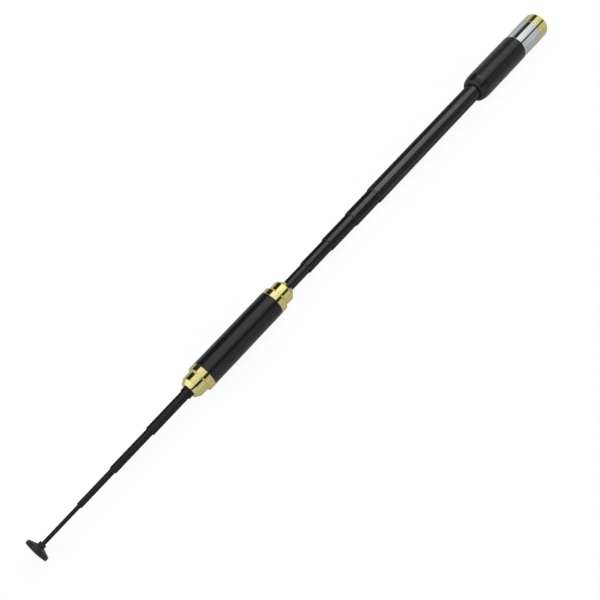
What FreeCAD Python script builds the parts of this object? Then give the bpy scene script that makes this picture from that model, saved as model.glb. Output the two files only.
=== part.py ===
import FreeCAD, Part
import math
import os

# Telescopic antenna for a handheld radio, lying along +X with +Z up.
# The origin is the centre of the connector's mouth, on the antenna's axis.
# All sizes are in millimetres. A profile point is (x along the axis, radius).

# Overall reach
full_length = 848.0        # end face to tip, every section drawn out
lower_draw = 91.0          # how far each section under the coil draws out
closed_step = 0.8          # a closed section's mouth stands this proud
lower_pose = (19.65, 20.15, 18.1, 14.1)    # drawn lengths at rest, base side first
upper_pose = (24.1, 24.4, 21.4, 21.5)

# Telescopic tubes
mast_radius = 5.0          # outer radius of the largest section
whip_radius = 2.5          # outer radius of the first section above the coil
tube_wall = 0.35
slide_gap = 0.15           # between a tube and the bore that it slides in
lip_gap = 0.04             # between a tube and the rolled lip that guides it
spring_gap = 0.04          # between a contact leaf and its bore
lower_lip = 1.0            # length of a rolled lip under the coil
upper_lip = 0.8
lower_hold = 6.0           # what stays inside at full draw, last section
upper_hold = 4.9
lower_hold_step = 1.0      # each larger section keeps this much more inside
upper_hold_step = 0.9
mouth_roll = 0.3           # length of the rolled-in edge at a mouth
leaf_count = 3             # bowed contact leaves round each tail
leaf_angle = 22.0          # degrees round the tube that a leaf covers
leaf_thickness = 0.12
leaf_pocket = 0.2          # depth of the pocket that a leaf lies in
leaf_inset = 0.6           # from the tube's end to the pocket
lower_leaf = 4.0           # length of a contact leaf
upper_leaf = 3.0
seat_gap = 0.02            # glue or press clearance between fixed pieces
end_clearance = 0.6        # a closed section stops this far from the bottom

# Connector
thread_radius = 3.175      # a quarter-inch thread's outer radius
thread_length = 3.6
undercut_length = 1.0
undercut_depth = 0.3
connector_radius = 5.2
flange_length = 2.0
spigot_radius = 4.6
spigot_length = 6.0
insulator_radius = 2.05
pin_tip_radius = 0.46
pin_tip_length = 1.6
pin_tip_recess = 0.15      # the pin's end lies this far behind the thread
pin_radius = 0.63

# Base shells
collar_radius = 7.9
collar_length = 8.0
collar_chamfer = 0.9
band_radius = 7.9
band_length = 16.8
shell_bore = 7.0           # inner radius of the band and of the grip
grip_radius = 8.1
grip_length = 42.4
grip_taper = 4.4           # the grip narrows over this length before its rounded end
grip_taper_drop = 1.0
grip_end_slope = 0.6
grip_rounding = 2.1
grip_lip = 0.48            # wall left at the grip's mouth
grip_throat = 6.7          # narrow stretch of the grip round the mast

# Inside the base
mast_seat = 13.1           # how deep the largest tube sits in the grip
root_plug_length = 6.8
root_stem_radius = 3.0
root_stem_length = 6.0
bobbin_gap = 3.0           # bridged by the pin at one end and the feed stud at the other
bobbin_radius = 4.4
bobbin_core = 2.6
bobbin_flange = 1.2
winding_thickness = 1.3
feed_radius = 0.8

# Loading coil housing
cap_end_radius = 3.4
cap_radius = 6.05
cap_chamfer = 2.7
cap_neck = 5.0
cap_step = 0.95
cap_ring_radius = 7.2
cap_ring = 3.6
mast_grip = 7.0            # how deep the last lower tube sits in the cap
cap_wall = 1.2
barrel_radius = 7.25
barrel_bore = 5.6
cap_spigot = 4.0
upper_end_radius = 4.55
upper_cap_radius = 6.1
upper_chamfer = 2.7
upper_neck = 4.4
upper_step = 0.6
upper_ring_radius = 7.35
upper_ring = 3.45
former_radius = 4.2
coil_thickness = 0.9
coil_margin = 1.5          # bare former at each end of the winding
ferrule_wall = 0.39
ferrule_show = 2.6
ferrule_seat = 7.7

# Tip button
button_neck_radius = 1.85
button_neck = 1.4
button_cone = 1.4
button_radius = 6.15
button_rim = 2.1
button_dome = 0.5
button_rim_edge = 0.35
rod_seat = 3.0

axis = FreeCAD.Vector(1, 0, 0)
origin = FreeCAD.Vector(0, 0, 0)


def point(x, r):
    return FreeCAD.Vector(x, 0, r)


def turned(profile):
    """Turns a closed profile about the antenna's axis.

    A profile is a list of (x, r) corners. An item of two such corners is
    an arc's middle point and its end.
    """
    edges = []
    last = point(*profile[0])
    for item in profile[1:] + [profile[0]]:
        if isinstance(item[0], tuple):
            middle, end = point(*item[0]), point(*item[1])
            edges.append(Part.Arc(last, middle, end).toShape())
        else:
            end = point(*item)
            edges.append(Part.LineSegment(last, end).toShape())
        last = end
    face = Part.Face(Part.Wire(edges))
    solid = face.revolve(origin, axis, 360)
    if solid.Volume < 0:
        solid.reverse()
    return solid


def ring(start, end, inner, outer):
    """A plain ring, or a disc or rod where the inner radius is 0."""
    return turned([(start, inner), (end, inner), (end, outer), (start, outer)])


def rounded(before, corner, after, radius):
    """Profile items that round a corner: the arc's start, then its middle point and end."""
    back = math.atan2(before[1] - corner[1], before[0] - corner[0])
    on = math.atan2(after[1] - corner[1], after[0] - corner[0])
    half = math.acos(math.cos(back - on)) / 2
    reach = radius / math.tan(half)
    inward = radius / math.sin(half) - radius

    def at(angle, length):
        return corner[0] + length * math.cos(angle), corner[1] + length * math.sin(angle)

    bisector = math.atan2(math.sin(back) + math.sin(on), math.cos(back) + math.cos(on))
    return [at(back, reach), (at(bisector, inward), at(on, reach))]


def dome_middle(apex, edge):
    """Middle point of a dome's arc, whose centre lies on the axis."""
    height = apex[0] - edge[0]
    radius = (edge[1] ** 2 + height ** 2) / (2 * height)
    half = math.asin(edge[1] / radius) / 2
    return apex[0] - radius * (1 - math.cos(half)), radius * math.sin(half)


def nest(first_radius, count):
    """Outer radii of tubes that slide in each other."""
    step = tube_wall + slide_gap
    return [first_radius - i * step for i in range(count)]


# Radii of the sections, largest first
mast_radii = nest(mast_radius, 5)
whip_radii = nest(whip_radius, 4)
whip_bore = whip_radius + slide_gap

# Lengths of the lower sections that slide: the draw, and what stays inside
lower_holds = [lower_hold + lower_hold_step * i for i in (3, 2, 1, 0)]
upper_holds = [upper_hold + upper_hold_step * i for i in (3, 2, 1, 0)]
lower_lengths = [lower_draw + hold for hold in lower_holds]

# Places along the base
band_start = collar_length
grip_start = band_start + band_length
grip_end = grip_start + grip_length
mast_start = grip_end - mast_seat
mast_length = root_plug_length + end_clearance + lower_lengths[0] - closed_step
mast_mouth = mast_start + mast_length

# The upper sections share what is left of the full length, and the coil
# housing is as deep as the first of them is long
lower_cap_length = cap_chamfer + cap_neck + cap_step + cap_ring
upper_cap_length = upper_ring + upper_step + upper_neck + upper_chamfer
housing_floor = mast_grip + cap_wall
button_length = button_neck + button_cone + button_rim + button_dome
housing_extra = housing_floor + end_clearance + upper_holds[0] - closed_step
upper_draw = (full_length - mast_mouth - 4 * lower_draw - housing_extra - button_length) / 5
upper_lengths = [upper_draw + hold for hold in upper_holds]
housing_length = housing_extra + upper_draw
barrel_length = housing_length - lower_cap_length - upper_cap_length - ferrule_show

# Places as posed
lower_mouths = [mast_mouth]
for drawn in lower_pose:
    lower_mouths.append(lower_mouths[-1] + drawn)
housing_start = lower_mouths[-1]
housing_end = housing_start + housing_length
upper_mouths = [housing_end]
for drawn in upper_pose:
    upper_mouths.append(upper_mouths[-1] + drawn)
button_start = upper_mouths[-1]


def tube(tail, mouth, radius, lip):
    """A tube whose mouth is rolled in to guide the next one."""
    bore = radius - tube_wall
    guide = bore - slide_gap + lip_gap
    return turned([
        (tail, bore), (tail, radius), (mouth - mouth_roll, radius),
        (mouth, guide), (mouth - lip, bore),
    ])


def around(shape, i):
    turn = shape.copy()
    turn.rotate(origin, axis, 360 * i / leaf_count)
    return turn


def leaf_width(radius):
    return 2 * radius * math.sin(math.radians(leaf_angle / 2))


def pocketed(section, tail, radius, length):
    """Cuts the pockets of the contact leaves into a section's tail."""
    width = leaf_width(radius) + 2 * seat_gap
    corner = FreeCAD.Vector(tail + leaf_inset - seat_gap, -width / 2, radius - leaf_pocket)
    pocket = Part.makeBox(length + 2 * seat_gap, width, radius, corner)
    return section.cut([around(pocket, i) for i in range(leaf_count)])


def contact_leaves(tail, radius, bore, length):
    """Bowed strips in those pockets, which bridge the gap to the outer tube."""
    width = leaf_width(radius)
    floor = radius - leaf_pocket
    top = math.sqrt((bore - spring_gap) ** 2 - (width / 2) ** 2)
    bow = top - floor - leaf_thickness
    start = tail + leaf_inset
    under = [(0, 0), (length / 3, bow), (2 * length / 3, bow), (length, 0)]
    over = [(x, z + leaf_thickness) for x, z in reversed(under)]
    outline = [FreeCAD.Vector(start + x, -width / 2, floor + z) for x, z in under + over]
    face = Part.Face(Part.makePolygon(outline + [outline[0]]))
    leaf = face.extrude(FreeCAD.Vector(0, width, 0))
    return Part.makeCompound([around(leaf, i) for i in range(leaf_count)])


def connector_parts():
    undercut_end = thread_length + undercut_length
    flange_start = collar_length
    flange_end = flange_start + flange_length
    spigot_end = flange_end + spigot_length
    body = turned([
        (0, thread_radius),
        (thread_length, thread_radius),
        (thread_length, thread_radius + undercut_depth),
        (undercut_end, thread_radius + undercut_depth),
        (undercut_end, insulator_radius),
        (spigot_end, insulator_radius),
        (spigot_end, spigot_radius),
        (flange_end, spigot_radius),
        (flange_end, shell_bore - seat_gap),
        (flange_start, shell_bore - seat_gap),
        (flange_start, connector_radius),
        (0, connector_radius),
    ])
    insulator = ring(undercut_end, spigot_end, pin_radius + seat_gap, insulator_radius - seat_gap)
    tip = thread_length + pin_tip_recess
    tip_end = tip + pin_tip_length
    pin_end = spigot_end + bobbin_gap
    pin = turned([
        (tip, 0), (tip, pin_tip_radius), (tip_end, pin_tip_radius),
        (tip_end, pin_radius), (pin_end, pin_radius), (pin_end, 0),
    ])
    return {"connector_body": body, "connector_insulator": insulator, "contact_pin": pin}


def base_shells():
    collar = turned([
        (0, connector_radius + seat_gap),
        (collar_length, connector_radius + seat_gap),
        (collar_length, collar_radius),
        (collar_chamfer, collar_radius),
        (0, collar_radius - collar_chamfer),
    ])
    band = ring(band_start, band_start + band_length, shell_bore, band_radius)
    mast_hole = mast_radius + seat_gap
    throat = grip_end - grip_throat
    mouth = (grip_end, mast_hole + grip_lip)
    nose = (grip_end - grip_end_slope, grip_radius - grip_taper_drop)
    shoulder = (grip_end - grip_taper, grip_radius)
    grip = turned([
        (grip_start, shell_bore), (throat, shell_bore), (throat, mast_hole), (grip_end, mast_hole),
        mouth, *rounded(mouth, nose, shoulder, grip_rounding), shoulder,
        (grip_start, grip_radius),
    ])
    return {"base_collar": collar, "base_band": band, "grip_sleeve": grip}


def base_inner():
    bush_start = collar_length + flange_length
    bush_end = grip_end - grip_throat
    bush_bore = spigot_radius + seat_gap
    stem_start = mast_start - root_stem_length
    bush = turned([
        (bush_start, bush_bore), (stem_start, bush_bore),
        (stem_start, root_stem_radius + seat_gap), (mast_start, root_stem_radius + seat_gap),
        (mast_start, mast_radius + seat_gap), (bush_end, mast_radius + seat_gap),
        (bush_end, shell_bore - seat_gap), (bush_start, shell_bore - seat_gap),
    ])
    bobbin_start = bush_start + spigot_length + bobbin_gap
    bobbin_end = stem_start - bobbin_gap
    winding_start = bobbin_start + bobbin_flange
    winding_end = bobbin_end - bobbin_flange
    bobbin = turned([
        (bobbin_start, 0), (bobbin_end, 0), (bobbin_end, bobbin_radius),
        (winding_end, bobbin_radius), (winding_end, bobbin_core),
        (winding_start, bobbin_core), (winding_start, bobbin_radius),
        (bobbin_start, bobbin_radius),
    ])
    winding_inner = bobbin_core + seat_gap
    winding = ring(winding_start, winding_end, winding_inner, winding_inner + winding_thickness)
    feed = ring(bobbin_end, stem_start, 0, feed_radius)
    plug_end = mast_start + root_plug_length
    plug_radius = mast_radius - tube_wall - seat_gap
    plug = turned([
        (stem_start, 0), (plug_end, 0), (plug_end, plug_radius), (mast_start, plug_radius),
        (mast_start, root_stem_radius), (stem_start, root_stem_radius),
    ])
    return {
        "base_bush": bush, "coil_bobbin": bobbin, "matching_coil": winding,
        "feed_stud": feed, "mast_root_plug": plug,
    }


def lower_sections():
    parts = {"mast_tube_1": tube(mast_start, mast_mouth, mast_radius, lower_lip)}
    for i in (1, 2, 3, 4):
        radius = mast_radii[i]
        bore = mast_radii[i - 1] - tube_wall
        mouth = lower_mouths[i]
        tail = mouth - lower_lengths[i - 1]
        if i < 4:
            section = tube(tail, mouth, radius, lower_lip)
        else:
            section = ring(tail, mouth + mast_grip, radius - tube_wall, radius)
        parts[f"mast_tube_{i + 1}"] = pocketed(section, tail, radius, lower_leaf)
        parts[f"mast_leaves_{i + 1}"] = contact_leaves(tail, radius, bore, lower_leaf)
    return parts


def coil_housing():
    a = housing_start
    neck = a + cap_chamfer
    step = neck + cap_neck
    ring_start = step + cap_step
    barrel_start = a + lower_cap_length
    barrel_end = barrel_start + barrel_length
    seat = mast_radii[4] + seat_gap
    spigot = barrel_bore - seat_gap
    former_start = barrel_start + cap_spigot
    former_end = barrel_end - cap_spigot
    lower_cap = turned([
        (a, seat), (a + mast_grip, seat), (a + mast_grip, 0), (a + housing_floor, 0),
        (a + housing_floor, whip_bore), (former_start, whip_bore), (former_start, spigot),
        (barrel_start, spigot), (barrel_start, cap_ring_radius),
        (ring_start, cap_ring_radius), (step, cap_radius), (neck, cap_radius),
        (a, cap_end_radius),
    ])
    ring_end = barrel_end + upper_ring
    cap_shoulder = ring_end + upper_step
    neck_end = cap_shoulder + upper_neck
    cap_end = neck_end + upper_chamfer
    ferrule_radius = whip_bore + ferrule_wall
    ferrule_start = cap_end - ferrule_seat
    ferrule_hole = ferrule_radius + seat_gap
    upper_cap = turned([
        (former_end, whip_bore), (ferrule_start, whip_bore),
        (ferrule_start, ferrule_hole), (cap_end, ferrule_hole), (cap_end, upper_end_radius),
        (neck_end, upper_cap_radius), (cap_shoulder, upper_cap_radius),
        (ring_end, upper_ring_radius), (barrel_end, upper_ring_radius),
        (barrel_end, spigot), (former_end, spigot),
    ])
    barrel = ring(barrel_start, barrel_end, barrel_bore, barrel_radius)
    former = ring(former_start, former_end, whip_bore, former_radius)
    coil_inner = former_radius + seat_gap
    coil = ring(
        former_start + coil_margin, former_end - coil_margin,
        coil_inner, coil_inner + coil_thickness)
    ferrule = turned([
        (ferrule_start, whip_bore), (housing_end - upper_lip, whip_bore),
        (housing_end, whip_radius + lip_gap), (housing_end, ferrule_radius),
        (ferrule_start, ferrule_radius),
    ])
    return {
        "lower_cap": lower_cap, "upper_cap": upper_cap, "coil_barrel": barrel,
        "coil_former": former, "loading_coil": coil, "whip_ferrule": ferrule,
    }


def upper_sections():
    parts = {}
    for i in (0, 1, 2, 3):
        radius = whip_radii[i]
        bore = whip_bore if i == 0 else whip_radii[i - 1] - tube_wall
        mouth = upper_mouths[i + 1]
        tail = mouth - upper_lengths[i]
        if i < 3:
            name = f"whip_tube_{i + 1}"
            section = tube(tail, mouth, radius, upper_lip)
        else:
            name = "whip_rod"
            section = ring(tail, mouth + rod_seat, 0, radius)
        parts[name] = pocketed(section, tail, radius, upper_leaf)
        parts[f"whip_leaves_{i + 1}"] = contact_leaves(tail, radius, bore, upper_leaf)
    return parts


def tip_button():
    hole = whip_radii[3] + seat_gap
    cone_start = button_start + button_neck
    rim_start = cone_start + button_cone
    rim_end = rim_start + button_rim
    apex = rim_end + button_dome
    inset = button_radius - button_rim_edge
    button = turned([
        (button_start, hole), (button_start + rod_seat, hole), (button_start + rod_seat, 0),
        (apex, 0), (dome_middle((apex, 0), (rim_end, inset)), (rim_end, inset)),
        (rim_end - button_rim_edge, button_radius), (rim_start + button_rim_edge, button_radius),
        (rim_start, inset), (cone_start, button_neck_radius), (button_start, button_neck_radius),
    ])
    return {"tip_button": button}


def build():
    parts = {}
    for group in (connector_parts, base_shells, base_inner, lower_sections, coil_housing,
                  upper_sections, tip_button):
        parts.update(group())
    os.makedirs("parts", exist_ok=True)
    for name, solid in parts.items():
        if not solid.isValid():
            print("not valid:", name)
        solid.exportStep(f"parts/{name}.step")
    print(len(parts), "pieces, upper draw", round(upper_draw, 3),
          "housing", round(housing_length, 3), "posed length", round(button_start + button_length, 2))


build()
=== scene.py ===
import bpy
import math
from mathutils import Matrix, Vector


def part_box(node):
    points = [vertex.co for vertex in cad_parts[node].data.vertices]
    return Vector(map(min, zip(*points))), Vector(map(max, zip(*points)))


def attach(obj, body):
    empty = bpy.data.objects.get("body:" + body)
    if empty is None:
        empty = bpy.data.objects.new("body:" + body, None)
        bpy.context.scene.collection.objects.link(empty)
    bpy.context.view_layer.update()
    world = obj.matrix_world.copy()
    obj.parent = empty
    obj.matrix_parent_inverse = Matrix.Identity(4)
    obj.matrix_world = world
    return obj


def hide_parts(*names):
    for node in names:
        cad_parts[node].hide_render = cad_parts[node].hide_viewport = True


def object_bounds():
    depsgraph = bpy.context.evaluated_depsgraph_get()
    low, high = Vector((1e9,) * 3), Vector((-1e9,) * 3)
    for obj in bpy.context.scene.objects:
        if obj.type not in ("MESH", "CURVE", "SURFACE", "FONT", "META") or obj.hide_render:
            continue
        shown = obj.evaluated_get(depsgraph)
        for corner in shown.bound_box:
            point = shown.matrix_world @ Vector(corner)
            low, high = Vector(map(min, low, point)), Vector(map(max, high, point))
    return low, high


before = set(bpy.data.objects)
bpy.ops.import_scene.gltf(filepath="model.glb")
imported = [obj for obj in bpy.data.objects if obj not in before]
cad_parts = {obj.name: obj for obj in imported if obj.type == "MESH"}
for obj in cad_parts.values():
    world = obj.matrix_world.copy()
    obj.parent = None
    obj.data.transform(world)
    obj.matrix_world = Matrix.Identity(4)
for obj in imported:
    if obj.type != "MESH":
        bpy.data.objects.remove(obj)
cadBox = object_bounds()
mm = 0.001


# Modelling helpers. A corner of an outline is in millimetres: place along the antenna, radius and,
# where the edge is rounded, the size of its rounding.

meshing = {"cornerReach": 0.004, "weldReach": 0.0005, "stepsRound": 128, "sharpAngle": 38}


def nodeSpan(node):
    low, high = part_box(node)
    return low.x / mm, high.x / mm, high.z / mm


def deselectAll():
    bpy.ops.object.select_all(action="DESELECT")


def startEdit():
    bpy.ops.object.mode_set(mode="EDIT")
    bpy.ops.mesh.select_mode(type="VERT")


def stopEdit():
    bpy.ops.object.mode_set(mode="OBJECT")


def applyModifier(piece, kind, settings):
    bpy.ops.object.modifier_add(type=kind)
    modifier = piece.modifiers[-1]
    for name, value in settings.items():
        setattr(modifier, name, value)
    bpy.ops.object.modifier_apply(modifier=modifier.name)


def pickCorners(piece, corners):
    bpy.ops.mesh.select_all(action="DESELECT")
    stopEdit()
    for vertex in piece.data.vertices:
        spot = vertex.co / mm
        gaps = [math.dist((spot.x, spot.z), corner) for corner in corners]
        vertex.select = min(gaps) < meshing["cornerReach"]
    startEdit()


def drawOutline(name, outline, closed):
    deselectAll()
    bpy.ops.mesh.primitive_plane_add(size=mm)
    piece = bpy.context.object
    piece.name = name
    startEdit()
    bpy.ops.mesh.merge(type="CENTER")
    here = (0, 0)
    for i, corner in enumerate(outline):
        step = ((corner[0] - here[0]) * mm, 0, (corner[1] - here[1]) * mm)
        if i == 0:
            bpy.ops.transform.translate(value=step)
        else:
            bpy.ops.mesh.extrude_region_move(TRANSFORM_OT_translate={"value": step})
        here = corner
    if closed:
        pickCorners(piece, [outline[0][:2], outline[-1][:2]])
        bpy.ops.mesh.edge_face_add()
    return piece


def roundCorners(piece, outline, segments):
    rounded = [corner for corner in outline if len(corner) > 2]
    for size in sorted({corner[2] for corner in rounded}):
        pickCorners(piece, [corner[:2] for corner in rounded if corner[2] == size])
        bpy.ops.mesh.bevel(offset=size * mm, segments=segments, affect="VERTICES")


def turnPiece(name, outline, closed=True, segments=4):
    piece = drawOutline(name, outline, closed)
    roundCorners(piece, outline, segments)
    bpy.ops.mesh.select_all(action="SELECT")
    bpy.ops.mesh.spin(steps=meshing["stepsRound"], angle=2 * math.pi, center=(0, 0, 0), axis=(1, 0, 0))
    bpy.ops.mesh.select_all(action="SELECT")
    bpy.ops.mesh.remove_doubles(threshold=meshing["weldReach"] * mm)
    bpy.ops.mesh.normals_make_consistent(inside=False)
    stopEdit()
    return piece


def smoothShade(piece):
    deselectAll()
    piece.select_set(True)
    bpy.context.view_layer.objects.active = piece
    bpy.ops.object.shade_smooth_by_angle(angle=math.radians(meshing["sharpAngle"]))
    applyModifier(piece, "WEIGHTED_NORMAL", {"keep_sharp": True})


def fitPiece(piece, body, finish, node):
    smoothShade(piece)
    piece.data.materials.clear()
    piece.data.materials.append(finish)
    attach(piece, body)
    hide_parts(node)


# Materials. A Value is one socket, so that sums on it read as sums.

class Value:
    def __init__(self, tree, socket):
        self.tree = tree
        self.socket = socket

    def maths(self, operation, first, second):
        return self.tree.add("ShaderNodeMath", {"operation": operation}, {0: first, 1: second})

    def __add__(self, other):
        return self.maths("ADD", self, other)

    def __radd__(self, other):
        return self.maths("ADD", other, self)

    def __sub__(self, other):
        return self.maths("SUBTRACT", self, other)

    def __rsub__(self, other):
        return self.maths("SUBTRACT", other, self)

    def __mul__(self, other):
        return self.maths("MULTIPLY", self, other)

    def __rmul__(self, other):
        return self.maths("MULTIPLY", other, self)


class Tree:
    def __init__(self, nodeTree):
        self.nodes = nodeTree.nodes
        self.links = nodeTree.links
        self.nodes.clear()

    def add(self, kind, settings, inputs, output=0):
        node = self.nodes.new(kind)
        for name, value in settings.items():
            setattr(node, name, value)
        for name, value in inputs.items():
            if isinstance(value, Value):
                self.links.new(value.socket, node.inputs[name])
            else:
                node.inputs[name].default_value = value
        return Value(self, node.outputs[output]) if node.outputs else None

    def spots(self, scale, detail, stretch=(1, 1, 1)):
        where = self.add("ShaderNodeTexCoord", {}, {}, "Object")
        where = self.add("ShaderNodeMapping", {}, {"Vector": where, "Scale": stretch})
        return self.add("ShaderNodeTexNoise", {}, {"Vector": where, "Scale": scale, "Detail": detail})

    def tint(self, mask, dark, light):
        colours = {6: (*dark, 1), 7: (*light, 1)}  # the Mix node's colours are its sockets 6 and 7
        return self.add("ShaderNodeMix", {"data_type": "RGBA"}, {"Factor": mask, **colours}, 2)

    def bump(self, height, depth, strength):
        inputs = {"Height": height, "Strength": strength, "Distance": depth * mm}
        return self.add("ShaderNodeBump", {}, inputs)

    def ramp(self, value, low, high, kind="SMOOTHSTEP"):
        return self.add("ShaderNodeMapRange", {"interpolation_type": kind, "clamp": True},
                        {"Value": value, "From Min": low, "From Max": high})


def newFinish(name, build):
    finish = bpy.data.materials.new(name)
    finish.use_nodes = True
    tree = Tree(finish.node_tree)
    surface = tree.add("ShaderNodeBsdfPrincipled", {}, build(tree))
    tree.add("ShaderNodeOutputMaterial", {}, {"Surface": surface})
    return finish


def polishedMetal(colour, rough, mottle=0.06):
    look = {
        "patchScale": 260, "markScale": 9000, "markStretch": (1, 0.02, 0.02),  # turning marks run round
        "markDepth": 0.004, "markStrength": 0.5, "leastRough": 0.7, "roughSpread": 0.6,
    }

    def build(tree):
        patches = tree.spots(look["patchScale"], detail=3)
        marks = tree.spots(look["markScale"], detail=1, stretch=look["markStretch"])
        dark = tuple(part * (1 - mottle) for part in colour)
        light = tuple(min(part * (1 + mottle), 1) for part in colour)
        return {
            "Base Color": tree.tint(patches, dark, light),
            "Metallic": 1.0,
            "Roughness": rough * look["leastRough"] + patches * (rough * look["roughSpread"]),
            "Normal": tree.bump(marks, look["markDepth"], look["markStrength"]),
        }
    return build


def drawnTube(colour, rough, lift=0.012):
    look = {
        "streakScale": 2600, "streakStretch": (0.012, 1, 1), "streakShare": 0.7,  # streaks run lengthwise
        "streakDepth": 0.01, "streakStrength": 0.5, "patchScale": 180, "patchStretch": (0.3, 1, 1),
        "patchShare": 0.3, "leastRough": 0.75, "roughSpread": 0.5,
    }

    def build(tree):
        streaks = tree.spots(look["streakScale"], detail=3, stretch=look["streakStretch"])
        patches = tree.spots(look["patchScale"], detail=2, stretch=look["patchStretch"])
        mask = streaks * look["streakShare"] + patches * look["patchShare"]
        dark = tuple(part - lift for part in colour)
        light = tuple(part + lift for part in colour)
        return {
            "Base Color": tree.tint(mask, dark, light),
            "Metallic": 0.85,
            "Specular Tint": (0.4, 0.4, 0.4, 1),
            "Roughness": rough * look["leastRough"] + streaks * (rough * look["roughSpread"]),
            "Normal": tree.bump(streaks, look["streakDepth"], look["streakStrength"]),
        }
    return build


def mouldedSkin(colour, rough):
    look = {
        "grainScale": 2400, "grainDepth": 0.012, "grainStrength": 0.6, "patchScale": 120,
        "darkest": 0.75, "lightest": 1.35, "leastRough": 0.8, "roughSpread": 0.4,
    }

    def build(tree):
        grain = tree.spots(look["grainScale"], detail=3)
        patches = tree.spots(look["patchScale"], detail=2)
        dark = tuple(part * look["darkest"] for part in colour)
        light = tuple(part * look["lightest"] for part in colour)
        return {
            "Base Color": tree.tint(patches, dark, light),
            "Roughness": rough * look["leastRough"] + grain * (rough * look["roughSpread"]),
            "Normal": tree.bump(grain, look["grainDepth"], look["grainStrength"]),
        }
    return build


# Painted highlight: one black finish given in five lit copies, lighter on the larger tubes to stand in
# for the brighter highlights they catch.
mastPaintedLightShades = (0.082, 0.065, 0.059, 0.055, 0.055)  # from the largest tube to the smallest
mastTone = (1, 0.95, 1.02)

gold = newFinish("gold plating", polishedMetal((0.84, 0.765, 0.31), 0.1))
chrome = newFinish("bright chrome", polishedMetal((0.68, 0.71, 0.70), 0.08))
brass = newFinish("spring brass", polishedMetal((0.72, 0.52, 0.22), 0.25, mottle=0.12))
copper = newFinish("enamelled copper", polishedMetal((0.72, 0.30, 0.12), 0.3, mottle=0.1))
mastBlacks = [
    newFinish(f"black mast tube {i}", drawnTube(tuple(shade * part for part in mastTone), 0.2))
    for i, shade in enumerate(mastPaintedLightShades, 1)
]
whipBlack = newFinish("black whip tube", drawnTube((0.041, 0.04, 0.043), 0.45, lift=0.01))
gripBlack = newFinish("grip rubber", mouldedSkin((0.011, 0.0105, 0.011), 0.24))
barrelBlack = newFinish("barrel plastic", mouldedSkin((0.009, 0.009, 0.0105), 0.26))
buttonBlack = newFinish("button plastic", mouldedSkin((0.015, 0.015, 0.016), 0.5))
beadWhite = newFinish("insulator white", mouldedSkin((0.72, 0.72, 0.70), 0.35))
formerGrey = newFinish("former grey", mouldedSkin((0.25, 0.25, 0.26), 0.5))
print("finishes made")


# Base: gold collar, bright band, grip and the connector insert

def makeCollar():
    sizes = {"bore": 5.22, "chamfer": 0.9, "chamferEdge": 0.5, "faceEdge": 0.3, "backEdge": 0.16}
    start, end, radius = nodeSpan("base_collar")
    collar = turnPiece("endCollar", [
        (start, sizes["bore"]), (end, sizes["bore"]), (end, radius, sizes["backEdge"]),
        (start + sizes["chamfer"], radius, sizes["chamferEdge"]),
        (start, radius - sizes["chamfer"], sizes["faceEdge"]),
    ])
    fitPiece(collar, "base", gold, "base_collar")


def makeBand():
    sizes = {"bore": 7.0, "edge": 0.14}
    start, end, radius = nodeSpan("base_band")
    band = turnPiece("brightBand", [
        (start, sizes["bore"]), (end, sizes["bore"]),
        (end, radius, sizes["edge"]), (start, radius, sizes["edge"]),
    ])
    fitPiece(band, "base", chrome, "base_band")


def makeGrip():
    sizes = {
        "bore": 7.0, "throat": 6.7, "mastHole": 5.02, "mouth": 5.5, "mouthEdge": 0.12,
        "shoulder": 0.6, "shoulderRadius": 7.1, "shoulderRound": 1.05,
        "taper": 4.4, "taperRound": 2.0, "backEdge": 0.25,
    }
    start, end, radius = nodeSpan("grip_sleeve")
    grip = turnPiece("gripSleeve", [
        (start, sizes["bore"]), (end - sizes["throat"], sizes["bore"]),
        (end - sizes["throat"], sizes["mastHole"]), (end, sizes["mastHole"]),
        (end, sizes["mouth"], sizes["mouthEdge"]),
        (end - sizes["shoulder"], sizes["shoulderRadius"], sizes["shoulderRound"]),
        (end - sizes["taper"], radius, sizes["taperRound"]), (start, radius, sizes["backEdge"]),
    ], segments=8)
    fitPiece(grip, "base", gripBlack, "grip_sleeve")


thread = {
    "bore": 3.175, "length": 3.6, "pitch": 0.7056, "lead": 0.5, "root": 3.23, "crest": 2.8,
    "crestWidth": 0.09, "rootWidth": 0.58, "steps": 64,
}


def makeThreadRidge(threadStart, threadEnd):
    first = threadStart + thread["lead"]
    ridge = drawOutline("threadRidge", [
        (first - thread["rootWidth"] / 2, thread["root"]),
        (first - thread["crestWidth"] / 2, thread["crest"]),
        (first + thread["crestWidth"] / 2, thread["crest"]),
        (first + thread["rootWidth"] / 2, thread["root"]),
    ], closed=True)
    stopEdit()
    applyModifier(ridge, "SCREW", {
        "axis": "X", "angle": 2 * math.pi, "screw_offset": thread["pitch"] * mm,
        "iterations": int((threadEnd - first) / thread["pitch"]),
        "steps": thread["steps"], "render_steps": thread["steps"], "use_merge_vertices": False,
    })
    startEdit()
    bpy.ops.mesh.select_all(action="SELECT")
    bpy.ops.mesh.fill_holes(sides=6)  # the ridge's two open ends
    bpy.ops.mesh.select_all(action="SELECT")
    bpy.ops.mesh.normals_make_consistent(inside=False)
    stopEdit()


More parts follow.
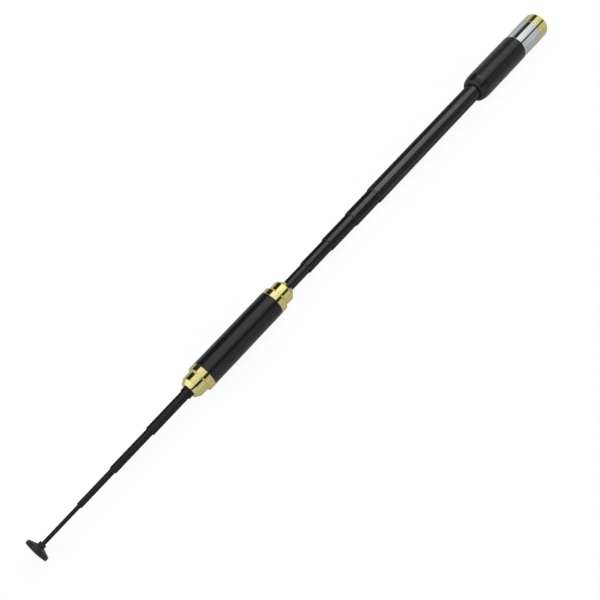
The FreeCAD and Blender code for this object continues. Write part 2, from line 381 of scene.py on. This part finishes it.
def makeConnector():
    sizes = {
        "head": 5.2, "flange": 2.0, "spigot": 4.6, "undercut": 0.3, "undercutLength": 1.0,
        "bead": 2.05, "mouthEdge": 0.25, "edge": 0.12,
    }
    start, end, radius = nodeSpan("connector_body")
    headEnd = nodeSpan("base_collar")[1]
    flangeEnd = headEnd + sizes["flange"]
    threadEnd = start + thread["length"]
    undercutEnd = threadEnd + sizes["undercutLength"]
    undercut = thread["bore"] + sizes["undercut"]
    insert = turnPiece("connectorInsert", [
        (start, thread["bore"], sizes["mouthEdge"]), (threadEnd, thread["bore"]),
        (threadEnd, undercut), (undercutEnd, undercut), (undercutEnd, sizes["bead"]),
        (end, sizes["bead"]), (end, sizes["spigot"], sizes["edge"]), (flangeEnd, sizes["spigot"]),
        (flangeEnd, radius), (headEnd, radius), (headEnd, sizes["head"]),
        (start, sizes["head"], sizes["edge"]),
    ])
    makeThreadRidge(start, threadEnd)
    insert.select_set(True)
    bpy.context.view_layer.objects.active = insert
    bpy.ops.object.join()  # the ridge is still selected
    fitPiece(insert, "base", gold, "connector_body")


makeCollar()
makeBand()
makeGrip()
makeConnector()
print("base made")


# Tubes: each sliding one has pockets at its tail for the contact leaves, and each has a rolled mouth,
# apart from the one that carries the coil housing

pocket = {"count": 3, "halfAngle": 11, "clearance": 0.02, "depth": 0.2, "edge": 0.02}
tube = {
    "wall": 0.35, "lipDrop": 0.11, "rollRound": 0.8, "boreEdge": 0.05, "outerEdge": 0.08,
    "mouthEdge": 0.06,
}
mastTube = dict(tube, roll=0.3, lip=1.0)
whipTube = dict(tube, roll=0.22, lip=0.8)
mastBodies = ["base", "section_2", "section_3", "section_4", "coil_section"]
whipBodies = ["upper_1", "upper_2", "upper_3"]


def cutPockets(piece, leaves, radius):
    low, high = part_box(leaves)
    length = (high.x - low.x) / mm + 2 * pocket["clearance"]
    width = 2 * radius * math.sin(math.radians(pocket["halfAngle"])) + 2 * pocket["clearance"]
    middle = (low.x + high.x) / 2
    for i in range(pocket["count"]):
        deselectAll()
        bpy.ops.mesh.primitive_cube_add(size=1)
        cutter = bpy.context.object
        startEdit()
        bpy.ops.mesh.select_all(action="SELECT")
        bpy.ops.transform.resize(value=(length * mm, width * mm, radius * mm))
        height = (radius * 1.5 - pocket["depth"]) * mm  # the middle of a block one radius tall
        bpy.ops.transform.translate(value=(middle, 0, height))
        bpy.ops.mesh.bevel(offset=pocket["edge"] * mm, segments=1, affect="EDGES")
        stopEdit()
        cutter.data.transform(Matrix.Rotation(i * 2 * math.pi / pocket["count"], 4, "X"))
        bpy.context.view_layer.objects.active = piece
        applyModifier(piece, "BOOLEAN", {"operation": "DIFFERENCE", "object": cutter})
        bpy.data.objects.remove(cutter)


def makeTube(name, node, body, finish, sizes, leaves, rolled=True):
    tail, mouth, radius = nodeSpan(node)
    bore = radius - sizes["wall"]
    outline = [(tail, bore, sizes["boreEdge"]), (tail, radius, sizes["outerEdge"])]
    if rolled:
        outline += [
            (mouth - sizes["roll"], radius, sizes["roll"] * sizes["rollRound"]),
            (mouth, radius - sizes["roll"], sizes["mouthEdge"]),
            (mouth, bore - sizes["lipDrop"]), (mouth - sizes["lip"], bore),
        ]
    else:
        outline += [(mouth, radius, sizes["outerEdge"]), (mouth, bore, sizes["boreEdge"])]
    piece = turnPiece(name, outline)
    if leaves:
        cutPockets(piece, leaves, radius)
    fitPiece(piece, body, finish, node)


def makeRod():
    sizes = {"tailEdge": 0.15, "endEdge": 0.1}
    tail, end, radius = nodeSpan("whip_rod")
    rod = turnPiece("whipRod", [
        (tail, 0), (tail, radius, sizes["tailEdge"]), (end, radius, sizes["endEdge"]), (end, 0),
    ], closed=False)
    cutPockets(rod, "whip_leaves_4", radius)
    fitPiece(rod, "tip", whipBlack, "whip_rod")


def makeButton():
    sizes = {
        "rodSeat": 3.0, "hole": 1.02, "neck": 1.85, "neckLength": 1.4, "footRound": 0.2,
        "neckRound": 0.15, "cone": 1.4, "coneRound": 0.3, "rim": 2.1, "rimEdge": 0.35,
        "rimRound": 0.25, "domeBreak": 3.4, "domeDrop": 0.16, "domeRound": 2.2,
    }
    start, end, radius = nodeSpan("tip_button")
    coneStart = start + sizes["neckLength"]
    rimStart = coneStart + sizes["cone"]
    rimEnd = rimStart + sizes["rim"]
    seat = start + sizes["rodSeat"]
    button = turnPiece("tipButton", [
        (seat, 0), (seat, sizes["hole"]), (start, sizes["hole"]),
        (start, sizes["neck"], sizes["footRound"]), (coneStart, sizes["neck"], sizes["neckRound"]),
        (rimStart, radius - sizes["rimEdge"], sizes["coneRound"]),
        (rimStart + sizes["rimEdge"], radius, sizes["rimRound"]),
        (rimEnd - sizes["rimEdge"], radius, sizes["rimRound"]),
        (rimEnd, radius - sizes["rimEdge"], sizes["rimRound"]),
        (end - sizes["domeDrop"], sizes["domeBreak"], sizes["domeRound"]), (end, 0),
    ], closed=False, segments=6)
    fitPiece(button, "tip", buttonBlack, "tip_button")


for i, body in enumerate(mastBodies, 1):
    makeTube(f"mastTube{i}", f"mast_tube_{i}", body, mastBlacks[i - 1], mastTube,
             leaves=f"mast_leaves_{i}" if i > 1 else None, rolled=body != "coil_section")
for i, body in enumerate(whipBodies, 1):
    makeTube(f"whipTube{i}", f"whip_tube_{i}", body, whipBlack, whipTube,
             leaves=f"whip_leaves_{i}")
makeRod()
makeButton()
print("tubes and button made")


# Coil housing: two gold caps, the barrel between them and the black ferrule

def makeLowerCap():
    sizes = {
        "bore": 3.02, "seat": 7.0, "wall": 1.2, "passage": 2.65, "spigot": 5.58, "endRadius": 3.4,
        "chamfer": 2.7, "neck": 5.0, "neckRadius": 6.05, "step": 0.95, "ring": 3.6,
        "endEdge": 0.1, "neckRound": 0.35, "stepRound": 0.2, "ringRound": 0.3, "backEdge": 0.16,
    }
    start, end, radius = nodeSpan("lower_cap")
    seatEnd = start + sizes["seat"]
    neckStart = start + sizes["chamfer"]
    stepStart = neckStart + sizes["neck"]
    ringStart = stepStart + sizes["step"]
    ringEnd = ringStart + sizes["ring"]
    cap = turnPiece("lowerCap", [
        (seatEnd, 0), (seatEnd, sizes["bore"]), (start, sizes["bore"], sizes["endEdge"]),
        (start, sizes["endRadius"], sizes["endEdge"]),
        (neckStart, sizes["neckRadius"], sizes["neckRound"]),
        (stepStart, sizes["neckRadius"], sizes["stepRound"]), (ringStart, radius, sizes["ringRound"]),
        (ringEnd, radius, sizes["backEdge"]), (ringEnd, sizes["spigot"]), (end, sizes["spigot"]),
        (end, sizes["passage"]), (seatEnd + sizes["wall"], sizes["passage"]),
        (seatEnd + sizes["wall"], 0),
    ], closed=False)
    fitPiece(cap, "coil_section", gold, "lower_cap")


def makeUpperCap():
    sizes = {
        "passage": 2.65, "ferruleSeat": 7.7, "ferruleHole": 3.06, "spigot": 5.58, "endRadius": 4.55,
        "chamfer": 2.7, "neck": 4.4, "neckRadius": 6.1, "step": 0.6, "ring": 3.45,
        "holeEdge": 0.1, "endEdge": 0.2, "neckRound": 0.35, "stepRound": 0.2, "backEdge": 0.16,
    }
    start, end, radius = nodeSpan("upper_cap")
    neckEnd = end - sizes["chamfer"]
    stepEnd = neckEnd - sizes["neck"]
    ringEnd = stepEnd - sizes["step"]
    ringStart = ringEnd - sizes["ring"]
    seat = end - sizes["ferruleSeat"]
    cap = turnPiece("upperCap", [
        (start, sizes["passage"]), (seat, sizes["passage"]), (seat, sizes["ferruleHole"]),
        (end, sizes["ferruleHole"], sizes["holeEdge"]), (end, sizes["endRadius"], sizes["endEdge"]),
        (neckEnd, sizes["neckRadius"], sizes["neckRound"]),
        (stepEnd, sizes["neckRadius"], sizes["stepRound"]), (ringEnd, radius, sizes["stepRound"]),
        (ringStart, radius, sizes["backEdge"]), (ringStart, sizes["spigot"]),
        (start, sizes["spigot"]),
    ])
    fitPiece(cap, "coil_section", gold, "upper_cap")


def makeBarrel():
    sizes = {"bore": 5.6, "edge": 0.18}
    start, end, radius = nodeSpan("coil_barrel")
    barrel = turnPiece("coilBarrel", [
        (start, sizes["bore"]), (end, sizes["bore"]),
        (end, radius, sizes["edge"]), (start, radius, sizes["edge"]),
    ])
    fitPiece(barrel, "coil_section", barrelBlack, "coil_barrel")


def makeFerrule():
    sizes = {"passage": 2.65, "lip": 0.8, "lipBore": 2.54, "edge": 0.15}
    start, end, radius = nodeSpan("whip_ferrule")
    ferrule = turnPiece("whipFerrule", [
        (start, sizes["passage"]), (end - sizes["lip"], sizes["passage"]), (end, sizes["lipBore"]),
        (end, radius, sizes["edge"]), (start, radius, sizes["edge"]),
    ])
    fitPiece(ferrule, "coil_section", whipBlack, "whip_ferrule")


makeLowerCap()
makeUpperCap()
makeBarrel()
makeFerrule()
print("coil housing made")


# Inner pieces keep their solids and get their finishes

innerFinishes = {
    "connector_insulator": beadWhite, "contact_pin": gold, "base_bush": formerGrey,
    "coil_bobbin": formerGrey, "matching_coil": copper, "feed_stud": brass,
    "mast_root_plug": brass, "coil_former": formerGrey, "loading_coil": copper,
}
for i in (2, 3, 4, 5):
    innerFinishes[f"mast_leaves_{i}"] = brass
for i in (1, 2, 3, 4):
    innerFinishes[f"whip_leaves_{i}"] = brass

for node, finish in innerFinishes.items():
    inner = bpy.data.objects[node]
    if not inner.material_slots:
        inner.data.materials.append(finish)
    for materialSlot in inner.material_slots:
        materialSlot.material = finish
print("inner pieces finished")


# Floor, light and camera

white = (1, 1, 1, 1)


def makeFloor():
    paper = {
        "size": 30, "grey": (0.65, 0.65, 0.65, 1), "brightness": 1.13,
        "seenShare": 0.82, "mirroredShare": 0.14,  # how much of the white the camera and gloss see
    }
    deselectAll()
    bpy.ops.mesh.primitive_plane_add(size=paper["size"], location=(0, 0, cadBox[0].z))
    floor = bpy.context.object
    floor.name = "floor"
    finish = bpy.data.materials.new("white floor")
    finish.use_nodes = True
    tree = Tree(finish.node_tree)
    plain = tree.add("ShaderNodeBsdfDiffuse", {}, {"Color": paper["grey"]})
    bright = tree.add("ShaderNodeEmission", {}, {"Color": white, "Strength": paper["brightness"]})
    seen = tree.add("ShaderNodeLightPath", {}, {}, "Is Camera Ray")
    mirrored = tree.add("ShaderNodeLightPath", {}, {}, "Is Glossy Ray")
    share = seen * paper["seenShare"] + mirrored * paper["mirroredShare"]
    both = tree.add("ShaderNodeMixShader", {}, {0: share, 1: plain, 2: bright})
    tree.add("ShaderNodeOutputMaterial", {}, {"Surface": both})
    floor.data.materials.append(finish)


# The world is plain fields of light round the antenna, which lies along X. A zone is the stretch of a
# direction's X over which a field begins or ends. Strip, side and left are fields in degrees round the
# antenna, where 0 is straight up and 90 is +Y. Each also has its levels of light.

zones = {
    "collarEnd": (-0.684, -0.674), "bandEnd": (-0.66, -0.645), "gripEnd": (-0.625, -0.61),
    "mastStart": (-0.61, -0.5), "mastFade": (-0.46, -0.43), "mastEnd": (-0.38, -0.36),
    "coilStart": (-0.43, -0.37), "barrelStart": (-0.34, -0.325), "barrelEnd": (-0.245, -0.235),
    "baseSlopeEnd": (-0.85, -0.75), "tipSlopeStart": (0.2, 0.4),
    "housingDim": (-0.42, -0.34), "whipDim": (-0.34, 0.0),
}
strip = {
    "start": -41, "startAtGrip": 15, "startOnSlopes": -50, "startEdge": (-2.5, 2.5),
    "end": 20, "endAtCoil": 6, "endAtGrip": 8, "endEdge": (-2, 1.5),
    "fade": (-25, 30), "fadeFrom": 1.1, "fadeBy": 0.3,
    "level": 1.1, "atMast": 0.85, "mastFade": 0.75, "onSlopes": 0.4, "atCollar": 0.42,
    "housingDim": 0.1, "whipDim": 0.45,
}
side = {
    "gap": 12, "gapAtCoil": 12, "startEdge": (-1.5, 2), "endEdge": (85, 95),
    "level": 0.1, "atCoil": 0.5, "atBand": 0.6, "atCollar": 0.15, "barrelDim": 0.3,
}
left = {"endEdge": (-78, -46), "atGrip": 0.62}
faintLevel = 0.03


def fieldLevel(tree):
    look = tree.add("ShaderNodeTexCoord", {}, {}, "Generated")
    along, across, height = (
        tree.add("ShaderNodeSeparateXYZ", {}, {"Vector": look}, axis) for axis in ("X", "Y", "Z")
    )
    turn = tree.add("ShaderNodeMath", {"operation": "ARCTAN2"}, {0: across, 1: height})
    turn = turn * (180 / math.pi)

    def past(zone, kind="SMOOTHSTEP"):
        return tree.ramp(along, *zones[zone], kind)

    atCollar = 1 - past("collarEnd")
    atBand = 1 - past("bandEnd")
    atGrip = 1 - past("gripEnd")
    atMast = past("mastStart") * (1 - past("mastEnd")) * (1 - past("mastFade") * strip["mastFade"])
    atCoil = past("coilStart")
    atBarrel = past("barrelStart") * (1 - past("barrelEnd"))
    onSlopes = past("tipSlopeStart") + 1 - past("baseSlopeEnd")

    stripStart = atGrip * strip["startAtGrip"] + onSlopes * strip["startOnSlopes"] + strip["start"]
    stripEnd = atCoil * strip["endAtCoil"] + atGrip * strip["endAtGrip"] + strip["end"]
    sideStart = stripEnd + atCoil * side["gapAtCoil"] + side["gap"]
    inStrip = tree.ramp(turn - stripStart, *strip["startEdge"])
    inStrip = inStrip * (1 - tree.ramp(turn - stripEnd, *strip["endEdge"]))
    inStrip = inStrip * (strip["fadeFrom"] - tree.ramp(turn, *strip["fade"], "LINEAR") * strip["fadeBy"])
    inSide = tree.ramp(turn - sideStart, *side["startEdge"]) * (1 - tree.ramp(turn, *side["endEdge"]))
    inLeft = 1 - tree.ramp(turn, *left["endEdge"])

    stripLevel = atMast * strip["atMast"] + onSlopes * strip["onSlopes"] - atCollar * strip["atCollar"]
    stripLevel = stripLevel + strip["level"] - past("housingDim") * strip["housingDim"]
    stripLevel = stripLevel - past("whipDim", "LINEAR") * strip["whipDim"]
    sideLevel = atCoil * side["atCoil"] + atBand * side["atBand"] - atCollar * side["atCollar"]
    sideLevel = (sideLevel + side["level"]) * (1 - atBarrel * side["barrelDim"])
    leftLevel = atGrip * left["atGrip"]
    return inStrip * stripLevel + inSide * sideLevel + inLeft * leftLevel + faintLevel


def makeStudio():
    world = bpy.data.worlds.new("studio")
    bpy.context.scene.world = world
    world.use_nodes = True
    tree = Tree(world.node_tree)
    lit = tree.add("ShaderNodeBackground", {}, {"Color": white, "Strength": fieldLevel(tree)})
    plain = tree.add("ShaderNodeBackground", {}, {"Color": white, "Strength": 1.0})
    seen = tree.add("ShaderNodeLightPath", {}, {}, "Is Camera Ray")
    both = tree.add("ShaderNodeMixShader", {}, {0: seen, 1: lit, 2: plain})
    tree.add("ShaderNodeOutputWorld", {}, {"Surface": both})


def makeCamera():
    view = {
        "lens": 54, "sensor": 36, "nearest": 0.01, "furthest": 100, "location": (396.8, 146.25, 400.9),
        "forward": (-0.358, -0.301, -0.884), "right": (-0.6379, 0.7703, -0.0036),
    }
    data = bpy.data.cameras.new("camera")
    data.lens = view["lens"]
    data.sensor_width = view["sensor"]
    data.clip_start = view["nearest"]
    data.clip_end = view["furthest"]
    camera = bpy.data.objects.new("camera", data)
    bpy.context.scene.collection.objects.link(camera)
    forward = Vector(view["forward"]).normalized()
    right = Vector(view["right"]).normalized()
    up = right.cross(forward).normalized()
    right = forward.cross(up).normalized()
    turn = Matrix((right, up, -forward)).transposed().to_4x4()
    camera.matrix_world = Matrix.Translation(Vector(view["location"]) * mm) @ turn
    bpy.context.scene.camera = camera


makeFloor()
makeStudio()
makeCamera()
bpy.context.scene.view_settings.view_transform = "Standard"
print("studio made")
